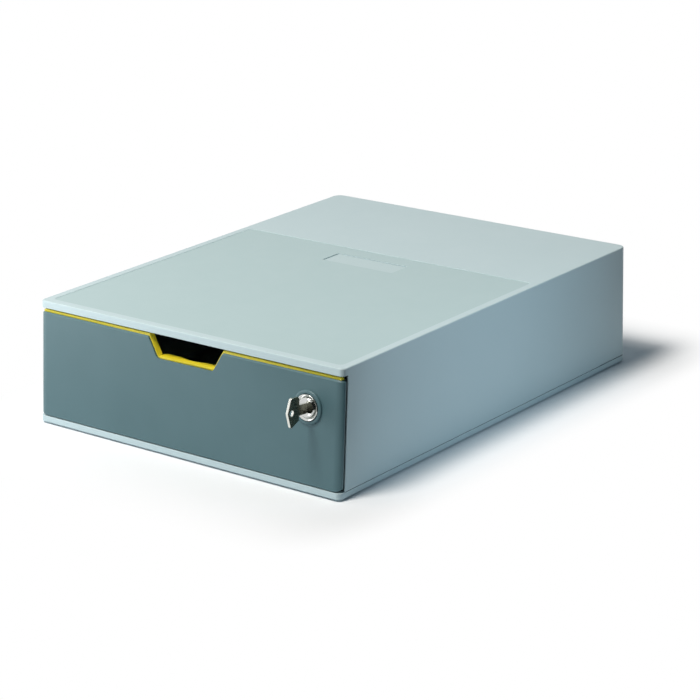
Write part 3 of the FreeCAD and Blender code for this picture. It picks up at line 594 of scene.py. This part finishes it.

# stamped key: its flats are painted dark and its rim and bitting painted bright, painted reflections of the
# dark panel and the pale floor; the rim and bitting are also a little smoother
# outline: depth and rise from the lock's axis; facing: flats look further sideways than this
drawerKey = {"piece": "drawerKey", "body": "lock_key", "finish": "keyFlatPaintedDark", "slot": "bright_chrome",
             "width": 0.25, "steps": 3, "reach": 3, "facing": 0.8, "edgeFinish": "keyEdgePaintedBright",
             "outline": [(-22.5, -0.6), (-19.4, 9.0), (-18.2, 9.9), (-10.4, 10.4), (-9, 12), (18, 12),
                         (18, -12), (-9, -12), (-9.6, -6.2), (-10.9, -7.2), (-18.0, -11.0), (-19.3, -10.2)]}


def makeKey(setup):
    tool = bmesh.new()
    near, far = ([tool.verts.new((side * setup["reach"], depth, rise)) for depth, rise in setup["outline"]]
                 for side in (-1, 1))
    tool.faces.new(near)
    tool.faces.new(far)
    for i in range(len(near)):
        k = (i + 1) % len(near)
        tool.faces.new((near[i], near[k], far[k], far[i]))
    bmesh.ops.recalc_face_normals(tool, faces=tool.faces)
    shape = bpy.data.meshes.new("keyOutline")
    tool.to_mesh(shape)
    tool.free()
    cut = combined(cleanCopy("key"), toScene(shape, atLock), "INTERSECT")
    addPiece(setup["piece"], softened(cut, setup["width"], setup["steps"]), setup, "key")
    coatFaces(setup["piece"], setup["edgeFinish"], lambda place, normal: abs(normal.x) < setup["facing"])


makeKey(drawerKey)


# starts a node group with the sizes a user may change: name -> (kind, first value)
def startGroup(name, sizes):
    tree = bpy.data.node_groups.new(name, "GeometryNodeTree")
    tree.interface.new_socket("Geometry", in_out="INPUT", socket_type="NodeSocketGeometry")
    tree.interface.new_socket("Geometry", in_out="OUTPUT", socket_type="NodeSocketGeometry")
    for label, (kind, value) in sizes.items():
        socket = tree.interface.new_socket(label, in_out="INPUT", socket_type="NodeSocket" + kind)
        if value is not None:
            socket.default_value = value
    given = addNode(tree, "NodeGroupInput").outputs
    place = addNode(tree, "GeometryNodeInputPosition")
    return tree, given, addNode(tree, "ShaderNodeSeparateXYZ", links={0: place}).outputs


# a corner of a unit grid: how far along its rows it lies, from 0 to 1, and its turn about the axis in radians
def gridRuns(tree, spot):
    along = addNode(tree, "ShaderNodeMath", {1: 0.5}, {0: spot["X"]}, operation="ADD")
    turn = addNode(tree, "ShaderNodeMath", {1: 2 * math.pi}, {0: spot["Y"]}, operation="MULTIPLY")
    return along, turn


# wraps a unit grid round the Z axis and closes its seam and poles
def wrapGrid(tree, counts, reach, turn, rise):
    rows, stations = counts
    grid = addNode(tree, "GeometryNodeMeshGrid",
                   {"Size X": 1, "Size Y": 1, "Vertices X": rows, "Vertices Y": stations})
    places = {2: rise}
    for axis, wave in enumerate(("COSINE", "SINE")):
        share = addNode(tree, "ShaderNodeMath", links={0: turn}, operation=wave)
        places[axis] = addNode(tree, "ShaderNodeMath", links={0: reach, 1: share}, operation="MULTIPLY")
    spot = addNode(tree, "ShaderNodeCombineXYZ", links=places)
    wrapped = addNode(tree, "GeometryNodeSetPosition", links={"Geometry": grid, "Position": spot})
    return addNode(tree, "GeometryNodeMergeByDistance", {"Distance": 0.01 * mm}, {"Geometry": wrapped})


# draws straight lines through the given points in a curve node
def setCurve(node, points):
    line = node.mapping.curves[0]
    line.points[0].location = points[0]
    line.points[1].location = points[-1]
    for x, y in points[1:-1]:
        line.points.new(x, y)
    for point in line.points:
        point.handle_type = "VECTOR"
    node.mapping.update()


# puts one copy on each given point, as real mesh with its finish
def endGroup(tree, given, piece, rotation):
    placed = addNode(tree, "GeometryNodeInstanceOnPoints",
                     links={"Points": given["Geometry"], "Instance": piece, "Rotation": rotation})
    real = addNode(tree, "GeometryNodeRealizeInstances", links={"Geometry": placed})
    coated = addNode(tree, "GeometryNodeSetMaterial", links={"Geometry": real, "Material": given["Finish"]})
    addNode(tree, "NodeGroupOutput", links={"Geometry": coated})


# runs a node group on points given in millimetres and returns a plain mesh
def grown(tree, places, inputs):
    def addGrowth(draft):
        growth = draft.modifiers.new("grow", "NODES")
        growth.node_group = tree
        for socket in tree.interface.items_tree:
            if socket.item_type == "SOCKET" and socket.in_out == "INPUT" and socket.name in inputs:
                growth[socket.identifier] = inputs[socket.name]

    points = bpy.data.meshes.new("points")
    points.from_pydata([Vector(place) * mm for place in places], [], [])
    made = evaluated(points, addGrowth)
    for i in reversed(range(len(made.materials))):
        if made.materials[i] is None:
            made.materials.pop(index=i)
    return welded(made)


# outlines of the head and proportions of its cross recess, its thread and its point
screwShape = {
    "headGrid": (11, 33), "shankGrid": (73, 21),
    "headWide": [(0, 0), (0.12, 1.0), (0.3, 1.0), (0.55, 0.96), (0.75, 0.8), (0.9, 0.42), (1, 0)],
    "headTall": [(0, 0), (0.12, 0.0), (0.3, 0.3), (0.55, 0.72), (0.75, 0.93), (0.9, 0.99), (1, 1)],
    "barThick": 0.24, "barTall": 1.3, "barTaper": -0.55, "barPlace": -0.95,
    "threadFrom": 0.1, "pointFrom": 0.001, "pointSlope": 9.0, "sharpFrom": 35,
}


# pan-head screws: the head runs down from each point and the shank runs up
def makeScrewTree(setup):
    sizes = {"Head Radius": ("Float", 2.8 * mm), "Head Height": ("Float", 1.8 * mm),
             "Shank Radius": ("Float", 1.4 * mm), "Shank Length": ("Float", 10 * mm),
             "Pitch": ("Float", 1.1 * mm), "Thread Depth": ("Float", 0.3 * mm),
             "Recess Span": ("Float", 2.9 * mm), "Tilt": ("Rotation", None), "Seed": ("Int", 3),
             "Finish": ("Material", None)}
    tree, given, spot = startGroup("panHeadScrews", sizes)
    along, turn = gridRuns(tree, spot)
    # pan head
    wide = addNode(tree, "ShaderNodeFloatCurve", links={"Value": along})
    tall = addNode(tree, "ShaderNodeFloatCurve", links={"Value": along})
    setCurve(wide, setup["headWide"])
    setCurve(tall, setup["headTall"])
    reach = addNode(tree, "ShaderNodeMath", links={0: wide, 1: given["Head Radius"]}, operation="MULTIPLY")
    rise = addNode(tree, "ShaderNodeMath", links={0: tall, 1: given["Head Height"]}, operation="MULTIPLY")
    drop = addNode(tree, "ShaderNodeMath", {1: -1.0}, {0: rise}, operation="MULTIPLY")
    head = wrapGrid(tree, setup["headGrid"], reach, turn, drop)
    # cross recess, cut by a tapered bar that stands both ways
    cut = addNode(tree, "GeometryNodeMeshBoolean", links={"Mesh 1": head}, operation="DIFFERENCE",
                  solver="EXACT")
    thick = addNode(tree, "ShaderNodeMath", {1: setup["barThick"]}, {0: given["Recess Span"]},
                    operation="MULTIPLY")
    tall = addNode(tree, "ShaderNodeMath", {1: setup["barTall"]}, {0: given["Head Height"]},
                   operation="MULTIPLY")
    size = addNode(tree, "ShaderNodeCombineXYZ", links={0: given["Recess Span"], 1: thick, 2: tall})
    bar = addNode(tree, "GeometryNodeMeshCube", links={"Size": size})
    deep = addNode(tree, "ShaderNodeMath", {1: 0.0}, {0: spot["Z"]}, operation="GREATER_THAN")
    taper = addNode(tree, "ShaderNodeMath", {1: setup["barTaper"], 2: 1.0}, {0: deep},
                    operation="MULTIPLY_ADD")
    narrowX = addNode(tree, "ShaderNodeMath", links={0: spot["X"], 1: taper}, operation="MULTIPLY")
    narrowY = addNode(tree, "ShaderNodeMath", links={0: spot["Y"], 1: taper}, operation="MULTIPLY")
    narrow = addNode(tree, "ShaderNodeCombineXYZ", links={0: narrowX, 1: narrowY, 2: spot["Z"]})
    bar = addNode(tree, "GeometryNodeSetPosition", links={"Geometry": bar, "Position": narrow})
    depth = addNode(tree, "ShaderNodeMath", {1: setup["barPlace"]}, {0: given["Head Height"]},
                    operation="MULTIPLY")
    place = addNode(tree, "ShaderNodeCombineXYZ", links={2: depth})
    for swing in (0, math.pi / 2):
        swung = addNode(tree, "GeometryNodeTransform", {"Rotation": (0, 0, swing)},
                        {"Geometry": bar, "Translation": place})
        tree.links.new(swung.outputs[0], cut.inputs["Mesh 2"])
    # shank: a triangular thread that climbs one pitch a turn cuts into it, and its end is pointed
    rise = addNode(tree, "ShaderNodeMath", links={0: along, 1: given["Shank Length"]}, operation="MULTIPLY")
    climb = addNode(tree, "ShaderNodeMath", links={0: rise, 1: given["Pitch"]}, operation="DIVIDE")
    phase = addNode(tree, "ShaderNodeMath", links={0: climb, 1: spot["Y"]}, operation="SUBTRACT")
    saw = addNode(tree, "ShaderNodeMath", links={0: phase}, operation="FRACT")
    wave = addNode(tree, "ShaderNodeMath", {1: 2.0, 2: -1.0}, {0: saw}, operation="MULTIPLY_ADD")
    wave = addNode(tree, "ShaderNodeMath", links={0: wave}, operation="ABSOLUTE")
    begun = addNode(tree, "ShaderNodeMath", {1: setup["threadFrom"]}, {0: along}, operation="GREATER_THAN")
    wave = addNode(tree, "ShaderNodeMath", links={0: wave, 1: begun}, operation="MULTIPLY")
    depth = addNode(tree, "ShaderNodeMath", links={0: wave, 1: given["Thread Depth"]}, operation="MULTIPLY")
    core = addNode(tree, "ShaderNodeMath", links={0: given["Shank Radius"], 1: depth}, operation="SUBTRACT")
    left = addNode(tree, "ShaderNodeMath", {0: 1.0}, {1: along}, operation="SUBTRACT")
    point = addNode(tree, "ShaderNodeMath", {1: setup["pointSlope"]}, {0: left}, operation="MULTIPLY",
                    use_clamp=True)
    started = addNode(tree, "ShaderNodeMath", {1: setup["pointFrom"]}, {0: along}, operation="GREATER_THAN")
    point = addNode(tree, "ShaderNodeMath", links={0: point, 1: started}, operation="MULTIPLY")
    core = addNode(tree, "ShaderNodeMath", links={0: core, 1: point}, operation="MULTIPLY")
    rod = wrapGrid(tree, setup["shankGrid"], core, turn, rise)
    rod = addNode(tree, "GeometryNodeFlipFaces", links={"Mesh": rod})
    screw = addNode(tree, "GeometryNodeJoinGeometry", links={"Geometry": cut})
    tree.links.new(rod.outputs[0], screw.inputs["Geometry"])
    # each is driven home at its own turn
    spin = addNode(tree, "FunctionNodeRandomValue", {3: math.pi / 2}, {"Seed": given["Seed"]},
                   data_type="FLOAT")
    about = addNode(tree, "ShaderNodeCombineXYZ", links={2: spin.outputs[1]})
    about = addNode(tree, "FunctionNodeEulerToRotation", links={0: about})
    facing = addNode(tree, "FunctionNodeRotateRotation", links={0: given["Tilt"], 1: about},
                     rotation_space="LOCAL")
    endGroup(tree, given, screw, facing)
    return tree


# heights along the lean of the two rows of screws that hold the cover, and where they stand across it
coverRows = {16.5198: (-120, -45, 45, 120), 73.5033: (-75, 75)}
screwTree = makeScrewTree(screwShape)
# zinc-plated screws, in millimetres; tilt turns a screw whose shank runs up the Z axis
screwSets = {
    "case_screws": {"piece": "caseScrews", "body": "casing", "finish": "zinc", "slot": "zinc_steel",
                    "length": 12.0, "seed": 4, "tilt": (0, 0, 0),
                    "places": [(x, y, 2.2) for x in (-133.2, 133.2) for y in (-150, 0, 150)]},
    "strike_screws": {"piece": "strikeScrews", "body": "casing", "finish": "zinc", "slot": "zinc_steel",
                      "length": 5.0, "seed": 9, "tilt": (0, 0, 0),
                      "places": [(103, -144.1165, 82.3), (119, -144.1165, 82.3)]},
    "front_screws": {"piece": "frontScrews", "body": "drawer", "finish": "zinc", "slot": "zinc_steel",
                     "length": 5.5, "seed": 2, "tilt": (math.radians(90) - lean, 0, 0),
                     "places": [leaning @ Vector((x, 7.1, rise))
                                for rise, row in coverRows.items() for x in row]},
    "cam_screw": {"piece": "camScrew", "body": "lock_plug", "finish": "zinc", "slot": "zinc_steel",
                  "length": 3.8, "seed": 7, "tilt": (math.radians(90) - lean, 0, 0),
                  "places": [atLock @ Vector((0, 20.1, 0))]},
}


def makeScrews(node, setup):
    inputs = {"Shank Length": setup["length"] * mm, "Tilt": setup["tilt"], "Seed": setup["seed"],
              "Finish": finishes[setup["finish"]]}
    mesh = grown(screwTree, setup["places"], inputs)
    addPiece(setup["piece"], shaded(mesh, screwShape["sharpFrom"]), setup, node)


for node, setup in screwSets.items():
    makeScrews(node, setup)


# outline of a pad; the ridges stop where the tread does
padShape = {"grid": (81, 49), "treadTo": 0.66, "sharpFrom": 50,
            "wide": [(0, 0), (0.7, 0.93), (0.74, 0.975), (0.78, 1), (0.9, 1), (1, 0)],
            "tall": [(0, 0), (0.7, 0), (0.74, 0.06), (0.78, 0.18), (0.9, 1), (1, 1)]}


# round pads of soft rubber with concentric ridges on the tread
def makePadTree(setup):
    sizes = {"Radius": ("Float", 6.9 * mm), "Height": ("Float", 3.4 * mm), "Ridge Pitch": ("Float", 1.4 * mm),
             "Ridge Depth": ("Float", 0.3 * mm), "Tilt": ("Rotation", None), "Finish": ("Material", None)}
    tree, given, spot = startGroup("rubberPads", sizes)
    along, turn = gridRuns(tree, spot)
    wide = addNode(tree, "ShaderNodeFloatCurve", links={"Value": along})
    tall = addNode(tree, "ShaderNodeFloatCurve", links={"Value": along})
    setCurve(wide, setup["wide"])
    setCurve(tall, setup["tall"])
    reach = addNode(tree, "ShaderNodeMath", links={0: wide, 1: given["Radius"]}, operation="MULTIPLY")
    count = addNode(tree, "ShaderNodeMath", links={0: reach, 1: given["Ridge Pitch"]}, operation="DIVIDE")
    phase = addNode(tree, "ShaderNodeMath", {1: 2 * math.pi}, {0: count}, operation="MULTIPLY")
    wave = addNode(tree, "ShaderNodeMath", links={0: phase}, operation="COSINE")
    wave = addNode(tree, "ShaderNodeMath", {1: 0.5, 2: 0.5}, {0: wave}, operation="MULTIPLY_ADD")
    swell = addNode(tree, "ShaderNodeMath", links={0: wave, 1: given["Ridge Depth"]}, operation="MULTIPLY")
    tread = addNode(tree, "ShaderNodeMath", {1: setup["treadTo"]}, {0: along}, operation="LESS_THAN")
    ridge = addNode(tree, "ShaderNodeMath", links={0: swell, 1: tread}, operation="MULTIPLY")
    rise = addNode(tree, "ShaderNodeMath", links={0: tall, 1: given["Height"]}, operation="MULTIPLY")
    rise = addNode(tree, "ShaderNodeMath", links={0: ridge, 1: rise}, operation="ADD")
    pad = wrapGrid(tree, setup["grid"], reach, turn, rise)
    pad = addNode(tree, "GeometryNodeFlipFaces", links={"Mesh": pad})
    endGroup(tree, given, pad, given["Tilt"])
    return tree


padTree = makePadTree(padShape)
padSets = {
    "foot_pads": {"piece": "ribbedFeet", "body": "casing", "finish": "rubber", "slot": "dark_rubber",
                  "radius": 6.95, "height": 3.4, "ridge": 0.35, "tilt": (0, 0, 0),
                  "places": [(x, y, -1.2) for x in (-118, 118) for y in (-150, 150)]},
    "rear_bumpers": {"piece": "rearBuffers", "body": "casing", "finish": "rubber", "slot": "dark_rubber",
                     "radius": 3.95, "height": 7.3, "ridge": 0.15, "tilt": (math.radians(-90), 0, 0),
                     "places": [(x, 168.2, 40) for x in (-100, 100)]},
}


def makePads(node, setup):
    inputs = {"Radius": setup["radius"] * mm, "Height": setup["height"] * mm,
              "Ridge Depth": setup["ridge"] * mm, "Tilt": setup["tilt"], "Finish": finishes[setup["finish"]]}
    mesh = grown(padTree, setup["places"], inputs)
    addPiece(setup["piece"], shaded(mesh, padShape["sharpFrom"]), setup, node)


for node, setup in padSets.items():
    makePads(node, setup)
print("screws and pads made")

# pale paper under a cool sky, in metres; the paper turns to plain white at the clear distances from the
# footprint, and pull shortens them along X
studio = {"paper": "#FFFFFF", "bounce": (0.60, 0.70, 0.78), "sky": (0.8, 1.0, 1.16), "skyLevel": 0.19,
          "footprint": (0.14, 0.178, 0.0), "pull": (1.6, 1.0, 1.0), "clear": (0.02, 0.10),
          "level": -0.0012, "reach": 6}

# a soft lamp above the front, a near one at the left, and a cool card at the right
lamps = {
    "keyLamp": {"watts": 22.5, "size": 0.55, "away": 1.85, "from": (-0.09, -0.44, 0.9),
                "colour": (1.03, 1.0, 0.96)},
    "leftLamp": {"watts": 1.6, "size": 0.5, "away": 0.64, "from": (-0.45, -0.38, 0.14),
                 "colour": (1.0, 0.98, 0.99)},
    "fillCard": {"watts": 0.138, "size": 0.2, "away": 0.42, "from": (0.90, -0.02, 0.38),
                 "colour": (0.74, 1.0, 1.2)},
}
# dark cloths, by their corners: bright metal mirrors them, and they shade both ends of the right side
cloths = {
    "backCloth": [(2.86, -0.3, -0.3), (0.54, -2.5, -0.3), (0.54, -2.5, 2.3), (2.86, -0.3, 2.3)],
    "frontCloth": [(0.215, -0.13, 0.0), (0.36, -0.62, 0.0), (0.36, -0.62, 0.45), (0.215, -0.13, 0.45)],
    "lowCloth": [(0.25, -0.15, 0.0), (0.6, -0.15, 0.0), (0.6, -0.62, 0.0), (0.25, -0.62, 0.0)],
    "rearCloth": [(0.222, 0.12, 0.0), (0.267, 0.33, 0.0), (0.267, 0.33, 0.28), (0.222, 0.12, 0.28)],
}
clothColour = "#222426"


# adds a sheet of the studio, which is no part of the object; seen: whether the camera sees it
def hangSheet(name, corners, finish, seen):
    mesh = bpy.data.meshes.new(name)
    mesh.from_pydata(corners, [], [(0, 1, 2, 3)])
    mesh.materials.append(finish)
    sheet = addObject(name, mesh)
    sheet.visible_camera = seen


# white paper that keeps the shadow near the casing and fades to plain white; from below it is clear
def buildFloor(setup):
    finish = bpy.data.materials.new("studioPaper")
    tree = emptyTree(finish)
    path = addNode(tree, "ShaderNodeLightPath")
    seen = addNode(tree, "ShaderNodeBsdfDiffuse", {"Color": linear(setup["paper"])})
    dim = addNode(tree, "ShaderNodeBsdfDiffuse", {"Color": (*setup["bounce"], 1.0)})
    white = addNode(tree, "ShaderNodeEmission", {"Color": (1, 1, 1, 1), "Strength": 1.0})
    place = addNode(tree, "ShaderNodeTexCoord").outputs["Object"]
    spread = addNode(tree, "ShaderNodeVectorMath", links={0: place}, operation="ABSOLUTE")
    beyond = addNode(tree, "ShaderNodeVectorMath", {1: setup["footprint"]}, {0: spread}, operation="SUBTRACT")
    beyond = addNode(tree, "ShaderNodeVectorMath", {1: (0, 0, 0)}, {0: beyond}, operation="MAXIMUM")
    beyond = addNode(tree, "ShaderNodeVectorMath", {1: setup["pull"]}, {0: beyond}, operation="MULTIPLY")
    reach = addNode(tree, "ShaderNodeVectorMath", links={0: beyond}, operation="LENGTH")
    near, far = setup["clear"]
    away = addNode(tree, "ShaderNodeMapRange", {"From Min": near, "From Max": far},
                   {"Value": reach.outputs["Value"]}, interpolation_type="SMOOTHSTEP")
    paper = addNode(tree, "ShaderNodeMixShader", links={0: away, 1: seen, 2: white})
    mix = addNode(tree, "ShaderNodeMixShader", links={0: path.outputs["Is Diffuse Ray"], 1: paper, 2: dim})
    below = addNode(tree, "ShaderNodeNewGeometry").outputs["Backfacing"]
    clear = addNode(tree, "ShaderNodeBsdfTransparent")
    mix = addNode(tree, "ShaderNodeMixShader", links={0: below, 1: mix, 2: clear})
    addNode(tree, "ShaderNodeOutputMaterial", links={"Surface": mix})
    wide, low = setup["reach"], setup["level"]
    corners = [(-wide, -wide, low), (wide, -wide, low), (wide, wide, low), (-wide, wide, low)]
    hangSheet("studioFloor", corners, finish, True)


# the camera and mirrors see white, and the sky lights the rest
def buildWorld(setup):
    world = bpy.data.worlds.new("studioWorld")
    tree = emptyTree(world)
    path = addNode(tree, "ShaderNodeLightPath").outputs
    seen = addNode(tree, "ShaderNodeMath", links={0: path["Is Camera Ray"], 1: path["Is Glossy Ray"]},
                   operation="MAXIMUM")
    seen = addNode(tree, "ShaderNodeMath", links={0: seen, 1: path["Is Transmission Ray"]},
                   operation="MAXIMUM")
    sky = [part * setup["skyLevel"] for part in setup["sky"]] + [1.0]
    glow = addNode(tree, "ShaderNodeBackground", {"Color": sky, "Strength": 1.0})
    white = addNode(tree, "ShaderNodeBackground", {"Color": (1, 1, 1, 1), "Strength": 1.0})
    mix = addNode(tree, "ShaderNodeMixShader", links={0: seen, 1: glow, 2: white})
    addNode(tree, "ShaderNodeOutputWorld", links={"Surface": mix})
    scene.world = world


# a round soft lamp, out of the camera's sight, that faces the middle of the floor
def hangLamp(name, setup):
    lamp = bpy.data.lights.new(name, "AREA")
    lamp.shape = "DISK"
    lamp.size = setup["size"]
    lamp.energy = setup["watts"]
    lamp.color = setup["colour"]
    seat = addObject(name, lamp)
    outward = Vector(setup["from"]).normalized()
    seat.location = outward * setup["away"]
    seat.rotation_euler = outward.to_track_quat("Z", "Y").to_euler()
    seat.visible_camera = False


def hangCloth(name, corners, colour):
    finish = bpy.data.materials.new(name)
    tree = emptyTree(finish)
    weave = addNode(tree, "ShaderNodeBsdfDiffuse", {"Color": linear(colour)})
    addNode(tree, "ShaderNodeOutputMaterial", links={"Surface": weave})
    hangSheet(name, corners, finish, False)


buildFloor(studio)
buildWorld(studio)
for name, setup in lamps.items():
    hangLamp(name, setup)
for name, corners in cloths.items():
    hangCloth(name, corners, clothColour)
print("studio lit")
